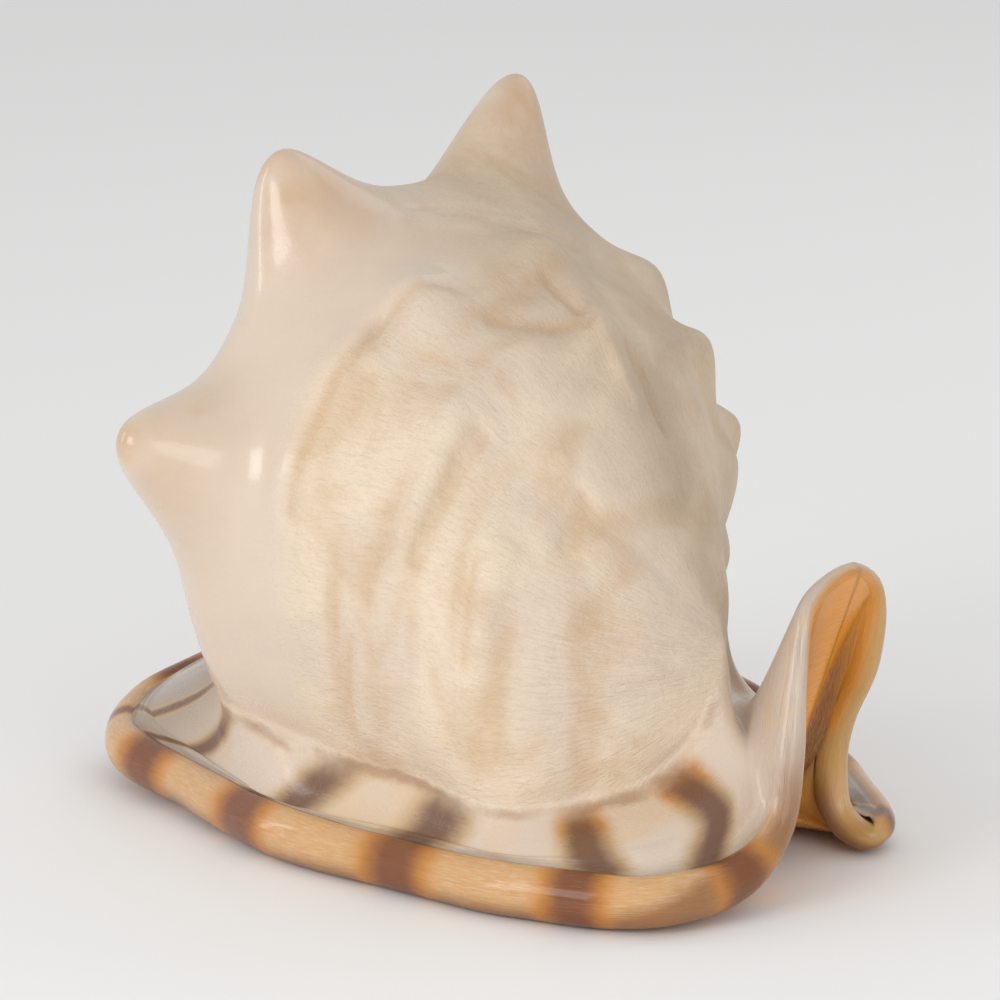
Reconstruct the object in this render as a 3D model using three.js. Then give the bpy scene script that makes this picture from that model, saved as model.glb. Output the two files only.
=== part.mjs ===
// Horned helmet shell, one closed wall of shell that rests on its outer lip and its shield.
// Millimetres, +Z up. The canal points along +X, the apex along -X and the outer lip lies towards -Y.
// The wall is one sheet: over the body whorl from its highest point, down the flange to the rim, round
// the rolled rim, back under the shell to the edge of the aperture, and up into the hollow inside.
import * as THREE from 'three';
import { mergeVertices } from 'three/addons/utils/BufferGeometryUtils.js';

// Growth. The shell coils about an axis that runs along X, with its apex at APEX_X.
const AXIS_Y = 22;
const AXIS_Z = 76;
const APEX_X = -108;
const GROWTH_PER_TURN = 1.8;
const SHOULDER_RADIUS = 105;
const SHOULDER_FROM_APEX = 46;
const SEAM_DEGREES = 110;      // angles round the axis run from -110 to 250, where 90 is straight up
const LIP_DEGREES = 180;

// The front of the axis bends down and towards the lip, as the whorl draws in to the canal.
const BEND = { from: 10, to: 80, y: -16, z: -12 };

// Radius of the body whorl along X, on its lip side, on its back and on its far side.
const STATIONS_X = [-90, -60, -30, 0, 25, 50, 68, 84, 96];
const BACK_RADII = [90, 103, 103, 89, 72, 48, 26, 0, -25];
const LIP_RADII = [82, 85, 90, 93, 91, 79, 56, 24, -10];
const FAR_RADII = [90, 97, 98, 79, 51, 14, -12, -30, -45];
const SHOULDER_ROUNDING = 12;
const SIDE_SLOPE = 0.8;        // evens the distance past the side, which is measured across the axis
// Below the axis the lip side stands more upright towards the canal, where the lip's bench leaves it.
const UPRIGHT = { from: 5, to: 85, share: 0.6, fromDegrees: 180, toDegrees: 195 };

// Angles at which the body's side changes from one of the three radii to the next.
const LIP_SIDE = { from: 90, to: 208 };
const FAR_SIDE = { from: 70, to: -15 };
const UNDERNEATH = { from: 216, to: 250 };

// The spire's whorls: each steps up over the last one's seam, then rises to its own shoulder.
const SEAM_STEP = 0.2;
const SEAM_WIDTH = 0.22;
const SHELF_CURVE = 1.2;

// Everything on the body whorl is seen from CORE, and the hollow follows it WALL further in.
const CORE = new THREE.Vector3(-5, 12, 66);
const WALL = 5.5;
const FLOOR = 10;
const THROAT_RISE = 9;
// How far down the hollow goes, where 1 is level with the flange's root. Towards the canal it stays
// higher, and the throat closes in on the middle of the slit, to leave a wall behind the trough.
const HOLLOW_REACH = { back: 1.02, front: 0.92 };
const CANAL_END = { from: 45, to: 80, middle: new THREE.Vector3(70, 17, 0), closing: 0.32 };

// Horns on the shoulder, from the youngest at the lip backwards.
const HORN_ROOT = 95;
const HORN_DEPTH = { from: -60, to: -25 };
const CONE_SHARPNESS = 2.3;
const SKIRT_SHARE = 0.26;
const SKIRT_WIDTH = 2.1;
const HORNS = [
  { angle: 158, x: -60, height: 37.5, width: 17.5, lean: -0.05 },
  { angle: 112, x: -61, height: 34, width: 18, lean: -0.1 },
  { angle: 64.5, x: -61, height: 48, width: 17.5, lean: -0.06 },
  { angle: 24, x: -71, height: 34, width: 17, lean: -0.15 },
  { angle: -14, x: -80, height: 24, width: 15, lean: -0.3 },
];

// Three spiral rows of knobs in front of the horns: angle, x, height, width along X, width round the axis.
const KNOB_ROWS = [
  [[155, -19, 5, 10, 16], [137, -17, 6, 10, 16], [119, -8, 9, 11, 12],
    [90, -1, 8, 10, 11], [47, -13, 9, 11, 13], [20, -20, 8, 11, 14]],
  [[163, 19, 5, 7, 18], [139, 18, 7, 8, 17], [117, 22, 3, 9, 12],
    [94, 25, 8, 9, 10], [48, 19, 9, 10, 11], [21, 12, 12, 10, 10],
    [-12, 5, 7, 10, 12]],
  [[173, 42, 3, 8, 18], [158, 39, 4, 6, 14], [128, 41, 3, 8, 12],
    [98, 44, 3, 9, 12], [62, 40, 3, 9, 11], [28, 33, 9, 9, 10],
    [-4, 26, 7, 10, 12]],
];
const KNOB_LEAN = 0.2;
// The last whorl of the spire has smaller knobs, which are the horns that the shell grew before.
const SPIRE_KNOB = { degrees: 50, radius: 100, width: 14, height: 12 };

// Places round the rim, from the top of the canal by the lip to the far side and back.
// Each has the outermost point of the rim, the way the rim faces there, the radius of its roll, where
// the flange leaves the body, the waist between them, the edge of the aperture and the underside's middle.
const RIM = [
  { edge: [110, 24, 92], faces: [0.3, 0, 1], roll: 3.2,
    root: [56, 18, 80], waist: [75, 21, 46], mouth: [86.5, 25, 17], under: [101, 24, 58] },
  { edge: [110, 3, 84], faces: [0.6, -0.6, 0.5], roll: 3,
    root: [60, 12, 78], waist: [77, 12, 45.5], mouth: [87, 20.5, 15], under: [100, 11, 55] },
  { edge: [113, -4, 64], faces: [0.9, -0.3, 0.2], roll: 3.5,
    root: [67, 4, 74], waist: [86, 3, 45], mouth: [87, 16.5, 13], under: [101, 7, 45] },
  { edge: [114, -8, 42], faces: [0.95, -0.3, 0.1], roll: 4.5,
    root: [72, -6, 63], waist: [96, -7, 42], mouth: [86.5, 12.5, 11], under: [102, 2, 30] },
  { edge: [116, -14, 22], faces: [0.97, -0.25, 0], roll: 5.5,
    root: [77, -16, 46], waist: [101, -16, 34], mouth: [84, 8, 8], under: [100, -3, 9] },
  { edge: [116, -33, 11], faces: [0.95, -0.3, 0], roll: 7,
    root: [80, -33, 34], waist: [103, -31, 27], mouth: [77, -2, 6], under: [98, -18, 1] },
  { edge: [107, -63, 9], faces: [0.6, -0.8, 0], roll: 8,
    root: [77, -49, 29], waist: [90.5, -55, 22], mouth: [60, -14, 5], under: [85, -39, -1] },
  { edge: [67, -78, 8], faces: [0.05, -1, 0], roll: 8,
    root: [58, -62, 28], waist: [63, -69, 17.5], mouth: [35, -24, 5], under: [51, -52, -1] },
  { edge: [20, -80, 8], faces: [0, -1, 0], roll: 8,
    root: [16, -60, 33], waist: [19, -69, 17], mouth: [5, -30, 5], under: [12, -56, -1] },
  { edge: [-28, -76, 8], faces: [-0.15, -1, 0], roll: 8,
    root: [-30, -56, 36], waist: [-29, -67, 15.5], mouth: [-25, -33, 5], under: [-27, -55, -1] },
  { edge: [-78, -60, 10], faces: [-0.4, -0.9, 0.05], roll: 8,
    root: [-68, -43, 42], waist: [-73, -50, 18], mouth: [-52, -30, 6], under: [-65, -45, 1] },
  { edge: [-121, -43, 13], faces: [-0.85, -0.5, 0.15], roll: 7.5,
    root: [-90, -22, 48], waist: [-110, -34, 23], mouth: [-72, -24, 8], under: [-96, -33, 4] },
  { edge: [-137, -14, 18], faces: [-0.98, -0.1, 0.25], roll: 7,
    root: [-98, 4, 51], waist: [-121, -8, 28], mouth: [-84, -14, 10], under: [-110, -14, 7] },
  { edge: [-133, 24, 26], faces: [-0.98, 0.15, 0.3], roll: 7,
    root: [-99, 30, 52], waist: [-118, 26, 33], mouth: [-90, -8, 10], under: [-111, 8, 10] },
  { edge: [-108, 78, 26], faces: [-0.7, 0.7, 0.25], roll: 6.5,
    root: [-78, 68, 50], waist: [-95, 68, 32], mouth: [-78, -2, 9], under: [-90, 40, 8] },
  { edge: [-55, 112, 22], faces: [-0.25, 1, 0.25], roll: 6.5,
    root: [-40, 90, 46], waist: [-49, 99, 26], mouth: [-50, -8, 7], under: [-50, 55, -2] },
  { edge: [5, 115, 19], faces: [0.05, 1, 0.2], roll: 6.5,
    root: [5, 84, 44], waist: [5, 98, 22], mouth: [-15, -10, 6], under: [0, 55, -3] },
  { edge: [58, 95, 10], faces: [0.55, 0.8, 0.15], roll: 6,
    root: [42, 62, 46], waist: [52, 80, 17], mouth: [20, -5, 6], under: [40, 60, -3] },
  { edge: [93, 67, 7.5], faces: [0.75, 0.65, 0.1], roll: 5.5,
    root: [52, 48, 54], waist: [78, 59, 12], mouth: [45, 8, 7], under: [68, 55, 2] },
  { edge: [110, 48, 7], faces: [0.9, 0.4, 0], roll: 5,
    root: [54, 38, 60], waist: [91, 51, 10], mouth: [58, 18, 13], under: [88, 42, 4] },
  { edge: [109, 38, 6], faces: [0.8, -0.5, 0], roll: 4.5,
    root: [55, 34, 63], waist: [89, 48, 12], mouth: [66, 22, 16], under: [88, 42, 5] },
  { edge: [99, 37, 12], faces: [0.85, -0.5, 0.1], roll: 4.5,
    root: [56, 31, 66], waist: [81, 44, 20], mouth: [72, 25, 18], under: [86, 38, 10] },
  { edge: [97, 37, 24], faces: [0.9, -0.4, 0], roll: 5,
    root: [56, 28, 69], waist: [78, 40, 29], mouth: [76, 26, 18], under: [86, 32, 20] },
  { edge: [101, 36, 40], faces: [0.9, -0.4, 0], roll: 5,
    root: [57, 25, 72], waist: [77, 35, 38], mouth: [80.5, 28, 17.5], under: [92, 32, 29] },
  { edge: [109, 37, 59], faces: [0.95, -0.2, 0], roll: 5,
    root: [57, 22, 75], waist: [77, 31, 43], mouth: [83, 28.3, 17], under: [96.5, 30.5, 42] },
  { edge: [110, 39, 82], faces: [0.8, 0.3, 0.6], roll: 4,
    root: [57, 20, 78], waist: [77, 27, 45], mouth: [85, 27.5, 17], under: [99, 28.5, 55] },
];

// Facets: columns go round the rim, and the rows of each stretch follow the wall from top to hollow.
const COLUMNS = 96;
const BODY_ROWS = 26;
const WAIST_ROWS = 4;
const FLANGE_ROWS = 3;
const ROLL_ROWS = 4;
const UNDER_ROWS = 6;
const HOLLOW_ROWS = 5;
const ROOT_WEIGHT = 0.8;       // how much the spread of the flange's root counts in spacing the columns

const radians = THREE.MathUtils.degToRad;

// 0 before `from`, 1 past `to`, smooth between, in either direction.
function ease(from, to, x) {
  const t = THREE.MathUtils.clamp((x - from) / (to - from), 0, 1);
  return t * t * (3 - 2 * t);
}

// A cubic between two values with the slopes that it leaves and meets them at.
function hermite(p, slopeP, q, slopeQ, t) {
  const t2 = t * t;
  const t3 = t2 * t;
  return (2 * t3 - 3 * t2 + 1) * p + (t3 - 2 * t2 + t) * slopeP
    + (3 * t2 - 2 * t3) * q + (t3 - t2) * slopeQ;
}

function hermitePoint(p, slopeP, q, slopeQ, t) {
  const at = (key) => hermite(p[key], slopeP[key], q[key], slopeQ[key], t);
  return new THREE.Vector3(at('x'), at('y'), at('z'));
}

// A smooth curve through knots, straight past both ends.
function throughKnots(xs, ys, x) {
  const last = xs.length - 2;
  const secant = (i) => (ys[i + 1] - ys[i]) / (xs[i + 1] - xs[i]);
  const slope = (i) => {
    if (i === 0) return secant(0);
    if (i === xs.length - 1) return secant(last);
    return (secant(i - 1) + secant(i)) / 2;
  };
  if (x < xs[0]) return ys[0] + (x - xs[0]) * slope(0);
  if (x > xs[last + 1]) return ys[last + 1] + (x - xs[last + 1]) * slope(last + 1);
  let i = 0;
  while (i < last && x > xs[i + 1]) i += 1;
  const step = xs[i + 1] - xs[i];
  return hermite(ys[i], slope(i) * step, ys[i + 1], slope(i + 1) * step, (x - xs[i]) / step);
}

// Distance from the bent axis and the angle round it.
function roundAxis(point) {
  const bend = ease(BEND.from, BEND.to, point.x);
  const y = point.y - AXIS_Y - BEND.y * bend;
  const z = point.z - AXIS_Z - BEND.z * bend;
  const turned = THREE.MathUtils.radToDeg(Math.atan2(z, y));
  const angle = THREE.MathUtils.euclideanModulo(turned + SEAM_DEGREES, 360) - SEAM_DEGREES;
  return { radius: Math.hypot(y, z), angle };
}

// Size of the whorl at an angle, 1 at the lip and smaller for each turn back.
function growth(angle, turnsBack = 0) {
  return GROWTH_PER_TURN ** ((angle - LIP_DEGREES) / 360 - turnsBack);
}

// Past the side of the body whorl, from the radii along X on its three sides.
function pastSide(x, radius, angle) {
  const below = ease(UNDERNEATH.from, UNDERNEATH.to, angle);
  const lip = ease(LIP_SIDE.from, LIP_SIDE.to, angle) * (1 - below);
  const far = ease(FAR_SIDE.from, FAR_SIDE.to, angle) + below;
  const whorl = throughKnots(STATIONS_X, BACK_RADII, x) * (1 - lip - far)
    + throughKnots(STATIONS_X, LIP_RADII, x) * lip
    + throughKnots(STATIONS_X, FAR_RADII, x) * far;
  const upright = UPRIGHT.share * ease(UPRIGHT.from, UPRIGHT.to, x)
    * ease(UPRIGHT.fromDegrees, UPRIGHT.toDegrees, angle) * (1 - below);
  const sideways = radius * Math.cos(radians(angle));
  const sunk = radius * Math.sin(radians(angle)) * (1 - upright);
  return (Math.hypot(sideways, sunk) - whorl) * SIDE_SLOPE;
}

// Past the spire and the shoulder, which wind up to the apex in whorls of the same form.
function pastShoulder(x, radius, angle) {
  const grown = SHOULDER_RADIUS * growth(angle) / Math.max(radius, 1e-3);
  const turnsBack = Math.floor(Math.log(grown) / Math.log(GROWTH_PER_TURN));
  const size = growth(angle, Math.max(turnsBack, 0));
  const inner = 1 / GROWTH_PER_TURN;
  const out = Math.min(radius / (SHOULDER_RADIUS * size), 1.3);
  const across = THREE.MathUtils.clamp((out - inner) / (1 - inner), 0, 1.5);
  const rise = SEAM_STEP * ease(0, SEAM_WIDTH, across) + (1 - SEAM_STEP) * across ** SHELF_CURVE;
  return APEX_X + SHOULDER_FROM_APEX * size * (inner + (1 - inner) * rise) - x;
}

// Below zero inside the body whorl and the spire, above zero outside.
function outsideBody(point) {
  const { radius, angle } = roundAxis(point);
  const side = pastSide(point.x, radius, angle);
  const top = pastShoulder(point.x, radius, angle);
  const blend = THREE.MathUtils.clamp(0.5 + (side - top) / (2 * SHOULDER_ROUNDING), 0, 1);
  return top * (1 - blend) + side * blend + SHOULDER_ROUNDING * blend * (1 - blend);
}

// The point that lies in a direction from CORE on the body whorl, or at a depth inside it.
function onBody(direction, depth = 0) {
  const at = (distance) => CORE.clone().addScaledVector(direction, distance);
  let near = 5;
  let far = 8;
  while (outsideBody(at(far)) <= -depth && far < 220) {
    near = far;
    far += 3;
  }
  for (let i = 0; i < 14; i += 1) {
    const middle = (near + far) / 2;
    if (outsideBody(at(middle)) > -depth) far = middle;
    else near = middle;
  }
  return at((near + far) / 2);
}

// How far a horn lifts the outside at a point: a blunt cone on a wide, low skirt.
function hornLift(horn, way, point) {
  const turn = radians(horn.angle);
  const root = new THREE.Vector3(horn.x, HORN_ROOT * Math.cos(turn), HORN_ROOT * Math.sin(turn));
  const from = point.clone().sub(root.add(new THREE.Vector3(0, AXIS_Y, AXIS_Z)));
  const along = from.dot(way);
  const away = Math.sqrt(Math.max(from.lengthSq() - along * along, 0)) / horn.width;
  const cone = Math.exp(-(away ** CONE_SHARPNESS));
  const skirt = Math.exp(-((away / SKIRT_WIDTH) ** 2));
  return horn.height * (cone * (1 - SKIRT_SHARE) + skirt * SKIRT_SHARE)
    * ease(HORN_DEPTH.from, HORN_DEPTH.to, along);
}

// How far a knob lifts it: a low mound, longer round the axis than along it.
function knobLift([knobAngle, x, height, widthAlong, widthRound], point, radius, angle) {
  const turned = THREE.MathUtils.euclideanModulo(angle - knobAngle + 180, 360) - 180;
  const round = radians(turned) * radius / widthRound;
  const along = (point.x - x) / widthAlong;
  return height * Math.exp(-along * along - round * round) * ease(0, SHOULDER_ROUNDING, radius);
}

// The outside with the horns, the knob rows and the knobs of the spire on it.
function raised(point) {
  const out = point.clone();
  for (const horn of HORNS) {
    const turn = radians(horn.angle);
    const way = new THREE.Vector3(horn.lean, Math.cos(turn), Math.sin(turn)).normalize();
    out.addScaledVector(way, hornLift(horn, way, point));
  }
  const { radius, angle } = roundAxis(point);
  for (const knob of KNOB_ROWS.flat()) {
    const turn = radians(knob[0]);
    const way = new THREE.Vector3(KNOB_LEAN, Math.cos(turn), Math.sin(turn)).normalize();
    out.addScaledVector(way, knobLift(knob, point, radius, angle));
  }
  for (let knobAngle = -100; knobAngle < 250; knobAngle += SPIRE_KNOB.degrees) {
    const turn = radians(knobAngle);
    const size = growth(knobAngle, 1);
    const middle = new THREE.Vector3(
      APEX_X + SHOULDER_FROM_APEX * size,
      AXIS_Y + SPIRE_KNOB.radius * size * Math.cos(turn),
      AXIS_Z + SPIRE_KNOB.radius * size * Math.sin(turn),
    );
    const away = point.distanceTo(middle) / (SPIRE_KNOB.width * size + 2);
    const way = new THREE.Vector3(-0.85, 0.5 * Math.cos(turn), 0.5 * Math.sin(turn));
    out.addScaledVector(way, (SPIRE_KNOB.height * size + 1) * Math.exp(-away * away));
  }
  return out;
}

// Closed curves through the places of the rim, one for each of their points.
function closedCurve(key) {
  const points = RIM.map((place) => new THREE.Vector3(...place[key]));
  return new THREE.CatmullRomCurve3(points, true, 'centripetal');
}

const curves = {
  edge: closedCurve('edge'),
  faces: closedCurve('faces'),
  root: closedCurve('root'),
  waist: closedCurve('waist'),
  mouth: closedCurve('mouth'),
  under: closedCurve('under'),
};
const rolls = RIM.map((place) => new THREE.Vector3(place.roll, 0, 0));
const rollCurve = new THREE.CatmullRomCurve3(rolls, true, 'centripetal');

// Where the columns stand on those curves, evenly along the rim and the flange's root together.
function columnPlaces() {
  const fine = 1200;
  const reach = [0];
  for (let i = 1; i <= fine; i += 1) {
    const stepOf = (curve) => curve.getPoint((i / fine) % 1).distanceTo(curve.getPoint((i - 1) / fine));
    reach.push(reach[i - 1] + stepOf(curves.edge) + ROOT_WEIGHT * stepOf(curves.root));
  }
  const places = [];
  let i = 1;
  for (let column = 0; column < COLUMNS; column += 1) {
    const goal = reach[fine] * column / COLUMNS;
    while (reach[i] < goal) i += 1;
    places.push((i - 1 + (goal - reach[i - 1]) / (reach[i] - reach[i - 1])) / fine);
  }
  return places;
}

// One column of the wall, from just below the highest point to just below the hollow's top.
function wallColumn(place) {
  const edge = curves.edge.getPoint(place);
  const roll = rollCurve.getPoint(place).x;
  const waist = curves.waist.getPoint(place);
  const mouth = curves.mouth.getPoint(place);
  const under = curves.under.getPoint(place);

  const ahead = curves.edge.getPoint((place + 0.002) % 1);
  const behind = curves.edge.getPoint((place + 0.998) % 1);
  const along = ahead.sub(behind).normalize();
  const up = along.clone().cross(curves.faces.getPoint(place)).normalize();
  const out = up.clone().cross(along).normalize();
  const centre = edge.clone().addScaledVector(out, -roll);
  const rimTop = centre.clone().addScaledVector(up, roll);
  const rimBottom = centre.clone().addScaledVector(up, -roll);

  const toRoot = curves.root.getPoint(place).sub(CORE).normalize();
  const tilt = Math.acos(toRoot.z);
  const heading = Math.atan2(toRoot.y, toRoot.x);
  const seen = (share) => new THREE.Vector3(
    Math.sin(tilt * share) * Math.cos(heading),
    Math.sin(tilt * share) * Math.sin(heading),
    Math.cos(tilt * share),
  );

  const outside = [];
  for (let row = 1; row <= BODY_ROWS; row += 1) outside.push(onBody(seen(row / BODY_ROWS)));
  const root = outside[BODY_ROWS - 1];
  const leaving = root.clone().sub(outside[BODY_ROWS - 2]).normalize();
  const drop = root.distanceTo(waist);
  const spread = waist.distanceTo(rimTop);
  const across = waist.clone().sub(root).normalize().add(rimTop.clone().sub(waist).normalize()).normalize();
  for (let row = 1; row <= WAIST_ROWS; row += 1) {
    outside.push(hermitePoint(root, leaving.clone().multiplyScalar(0.7 * drop),
      waist, across.clone().multiplyScalar(0.9 * drop), row / WAIST_ROWS));
  }
  for (let row = 1; row <= FLANGE_ROWS; row += 1) {
    outside.push(hermitePoint(waist, across.clone().multiplyScalar(0.6 * spread),
      rimTop, out.clone().multiplyScalar(0.8 * spread), row / FLANGE_ROWS));
  }

  const inside = [];
  for (let row = 1; row <= ROLL_ROWS; row += 1) {
    const turn = Math.PI * (0.5 - row / ROLL_ROWS);
    inside.push(centre.clone()
      .addScaledVector(out, roll * Math.cos(turn))
      .addScaledVector(up, roll * Math.sin(turn)));
  }
  for (let row = 1; row <= UNDER_ROWS; row += 1) {
    const t = row / UNDER_ROWS;
    inside.push(rimBottom.clone().multiplyScalar((1 - t) * (1 - 2 * t))
      .addScaledVector(under, 4 * t * (1 - t))
      .addScaledVector(mouth, t * (2 * t - 1)));
  }
  const hollow = [];
  const front = ease(CANAL_END.from, CANAL_END.to, mouth.x);
  const closing = CANAL_END.closing * front;
  const reach = THREE.MathUtils.lerp(HOLLOW_REACH.back, HOLLOW_REACH.front, front);
  for (let row = HOLLOW_ROWS; row > 0; row -= 1) {
    const point = onBody(seen(reach * row / HOLLOW_ROWS), WALL);
    hollow.push(point.setZ(Math.max(point.z, FLOOR)));
  }
  const throat = mouth.clone().lerp(CANAL_END.middle, closing).setZ(mouth.z + THROAT_RISE);
  const turning = throat.clone().lerp(hollow[0], 0.5);
  turning.z = (turning.z + throat.z) / 2;
  turning.lerp(CORE, closing);

  return [...outside.map(raised), ...inside, throat, turning, ...hollow];
}

// A sphere's net of facets is drawn over the columns. The shell rests on what is worn flat at z = 0.
function shellGeometry() {
  const columns = columnPlaces().map(wallColumn);
  const rows = columns[0].length;
  const straightUp = new THREE.Vector3(0, 0, 1);
  const summit = raised(onBody(straightUp));
  const vault = onBody(straightUp, WALL);
  const geometry = new THREE.SphereGeometry(1, COLUMNS, rows + 1);
  const position = geometry.attributes.position;
  for (let row = 0; row <= rows + 1; row += 1) {
    for (let column = 0; column <= COLUMNS; column += 1) {
      let point = columns[(COLUMNS - column) % COLUMNS][row - 1];
      if (row === 0) point = summit;
      if (row === rows + 1) point = vault;
      position.setXYZ(row * (COLUMNS + 1) + column, point.x, point.y, Math.max(point.z, 0));
    }
  }
  geometry.deleteAttribute('normal');
  geometry.deleteAttribute('uv');
  const closed = mergeVertices(geometry, 1e-4);
  closed.computeBoundingBox();
  const middle = closed.boundingBox.getCenter(new THREE.Vector3());
  closed.translate(-middle.x, -middle.y, 0);
  closed.computeVertexNormals();
  return closed;
}

const shellMaterial = new THREE.MeshStandardMaterial({ color: 0xe3d3c0, roughness: 0.4, metalness: 0 });

const helmetShell = new THREE.Mesh(shellGeometry(), shellMaterial);
helmetShell.name = 'helmet_shell';

const shell = new THREE.Group();
shell.add(helmetShell);

export default shell;
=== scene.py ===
import math

import bmesh
import bpy
import numpy as np
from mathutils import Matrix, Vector, noise


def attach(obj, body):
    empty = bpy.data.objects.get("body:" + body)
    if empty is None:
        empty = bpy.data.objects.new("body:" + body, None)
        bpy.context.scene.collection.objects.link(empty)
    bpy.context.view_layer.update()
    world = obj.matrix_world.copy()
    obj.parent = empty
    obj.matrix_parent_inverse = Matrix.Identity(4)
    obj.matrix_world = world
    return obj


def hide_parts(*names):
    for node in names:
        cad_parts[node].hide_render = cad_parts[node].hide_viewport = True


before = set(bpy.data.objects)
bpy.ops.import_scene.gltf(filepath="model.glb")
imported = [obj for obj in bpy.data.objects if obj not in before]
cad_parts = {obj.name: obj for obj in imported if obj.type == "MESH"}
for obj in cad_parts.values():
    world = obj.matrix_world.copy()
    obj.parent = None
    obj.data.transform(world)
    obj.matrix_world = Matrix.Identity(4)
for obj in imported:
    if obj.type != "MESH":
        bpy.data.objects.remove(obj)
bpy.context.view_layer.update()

# The view, the light and the floor
# A long lens looks a little down on the shell from the front of its lip. A broad soft light stands
# on the left of the view, weaker ones on the right and behind, and the floor is pale and plain.
GROWN_AT = np.array([-0.0106, 0.019576, 0.0])     # the coiling axis's frame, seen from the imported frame
VIEW_AZIMUTH = math.radians(38.7)
VIEW_ELEVATION = math.radians(12.8)
CAMERA_PLACE = np.array([0.90122, -1.12490, 0.42623]) - GROWN_AT
FOCAL_LENGTH, SENSOR_WIDTH, SIGHT = 180, 36, 20
LIGHTS_AIM = Vector((0, 0, 0.1))
ROOM_LIGHT = 0.68
FLOOR_HALF = 4
FLOOR_WHITE, FLOOR_ROUGHNESS = (0.94, 0.94, 0.935, 1), 0.6

lens = bpy.data.cameras.new("view")
lens.lens = FOCAL_LENGTH
lens.sensor_width = SENSOR_WIDTH
lens.clip_end = SIGHT
camera = bpy.data.objects.new("view", lens)
camera.location = CAMERA_PLACE
camera.rotation_euler = (math.pi / 2 - VIEW_ELEVATION, 0, VIEW_AZIMUTH)
bpy.context.scene.collection.objects.link(camera)
bpy.context.scene.camera = camera


def soft_light(name, place, width, height, watts):
    light = bpy.data.lights.new(name, "AREA")
    light.shape = "RECTANGLE"
    light.size = width
    light.size_y = height
    light.energy = watts
    lamp = bpy.data.objects.new(name, light)
    lamp.location = place
    lamp.rotation_euler = (Vector(place) - LIGHTS_AIM).to_track_quat("Z", "Y").to_euler()
    bpy.context.scene.collection.objects.link(lamp)


soft_light("key", (-0.15, -1.4, 0.6), 0.7, 0.7, 6.2)
soft_light("window", (-1.2, -0.75, 0.5), 0.1, 0.8, 1.5)
soft_light("fill", (1.3, -0.5, 0.4), 0.8, 0.8, 4)
soft_light("back", (0.1, 1.3, 1.1), 1.0, 1.0, 2)

world = bpy.data.worlds.new("studio")
world.use_nodes = True
world.node_tree.nodes["Background"].inputs["Color"].default_value = (1, 1, 1, 1)
world.node_tree.nodes["Background"].inputs["Strength"].default_value = ROOM_LIGHT
bpy.context.scene.world = world
bpy.context.scene.view_settings.view_transform = "Standard"

floor_sheet = bmesh.new()
bmesh.ops.create_grid(floor_sheet, x_segments=1, y_segments=1, size=FLOOR_HALF)
floor_mesh = bpy.data.meshes.new("floor")
floor_sheet.to_mesh(floor_mesh)
floor_sheet.free()
floor = bpy.data.objects.new("floor", floor_mesh)
bpy.context.scene.collection.objects.link(floor)
floor_paint = bpy.data.materials.new("floor")
floor_paint.use_nodes = True
floor_shader = floor_paint.node_tree.nodes["Principled BSDF"]
floor_shader.inputs["Base Color"].default_value = FLOOR_WHITE
floor_shader.inputs["Roughness"].default_value = FLOOR_ROUGHNESS
floor_mesh.materials.append(floor_paint)

# The helmet shell's form
# One wall of shell, grown in a right-handed coil about an axis along X and thickened at the rim into a
# rolled lip and a wide shield. Sizes in this section are millimetres in the coil's own frame.
AXIS_Y, AXIS_Z, APEX_X = 22, 76, -108
GROWTH_PER_TURN = 1.8
SHOULDER_RADIUS = 105
SHOULDER_FROM_APEX = 46
SEAM_DEGREES = 110
LIP_DEGREES = 180
BEND_FROM, BEND_TO, BEND_Y, BEND_Z = 10, 80, -16, -12
STATIONS_X = (-90, -60, -30, 0, 25, 50, 68, 84, 96)
BACK_RADII = (90, 103, 103, 89, 72, 48, 26, 0, -25)
LIP_RADII = (82, 85, 90, 93, 91, 79, 56, 24, -10)
FAR_RADII = (90, 97, 98, 79, 51, 14, -12, -30, -45)
SHOULDER_ROUNDING = 12
UPRIGHT_FROM, UPRIGHT_TO, UPRIGHT = 5, 85, 0.6
# Degrees between which the profile passes over to the lip's, to the far side's, to the one underneath
# and, below the lip, to the upright one
TO_LIP, TO_FAR, TO_UNDER, TO_UPRIGHT = (90, 208), (70, -15), (216, 250), (LIP_DEGREES, 195)
SIDE_STEEPNESS = 0.8
SHELF_STEP, SHELF_STEP_END, SHELF_REST, SHELF_CURVE = 0.2, 0.22, 0.8, 1.2
CORE = np.array([-5.0, 12, 66])
WALL = 5.5
HOLLOW_FLOOR = 10
THROAT_RISE = 9
REACH_BACK, REACH_FRONT = 1.02, 0.92
SEARCH_START, SEARCH_STEP, SEARCH_STEPS, HALVINGS = 5.0, 3, 70, 14
CANAL_END_FROM, CANAL_END_TO, CANAL_CLOSING = 45, 80, 0.32
CANAL_END_MIDDLE = np.array([70.0, 17])

# Horns of the shoulder: angle round the axis, x, height, width, lean along X
HORN_ROOT = 95
HORN_CORE, HORN_CORE_POWER = 0.74, 2.3
HORN_SKIRT, HORN_SKIRT_WIDTH = 0.26, 2.1
HORN_SIDE = (-60, -25)
HORNS = (
    (158, -60, 37.5, 17.5, -0.05),
    (112, -61, 34, 18, -0.1),
    (64.5, -61, 48, 17.5, -0.06),
    (24, -71, 34, 17, -0.15),
    (-14, -80, 24, 15, -0.3),
)
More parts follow.
